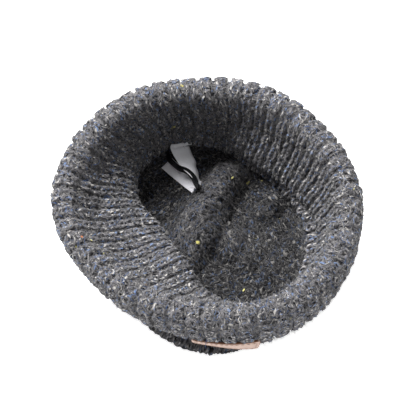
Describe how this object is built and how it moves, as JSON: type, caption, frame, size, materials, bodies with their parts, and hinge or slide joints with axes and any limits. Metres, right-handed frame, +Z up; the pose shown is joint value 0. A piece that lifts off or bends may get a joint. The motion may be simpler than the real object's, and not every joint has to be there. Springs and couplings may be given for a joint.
{
  "type": "knit hat",
  "caption": "Chunky rib-knit wool hat with a turned-up cuff, lying on its crown with the opening up, a plain leather patch on the cuff and sewn-in fabric labels inside.",
  "frame": {"origin": "middle of the overall box, at the level of the surface that the crown rests on", "axes": "+Z up out of the opening, -Y towards the front with the leather patch, +X to the wearer's patch-side right as seen from the front"},
  "size_m": [0.1882, 0.1704, 0.0853],
  "materials": {
    "cuff": "thick fuzzy rib knit in grey marl yarn with cream, charcoal and blue flecks",
    "wall": "the same thick fuzzy rib knit",
    "crown": "the same grey marl knit, seen from its inner side",
    "patch": "plain tan leather with stitched edge",
    "care_label": "thin white satin tape, bare",
    "ribbon_label": "black woven tape, bare",
    "size_label": "thin white satin tape, bare"
  },
  "bodies": {
    "root": {"cuff": "cuff", "wall": "wall", "crown": "crown", "patch": "patch", "care_label": "care_label", "ribbon_label": "ribbon_label", "size_label": "size_label"}
  },
  "joints": []
}
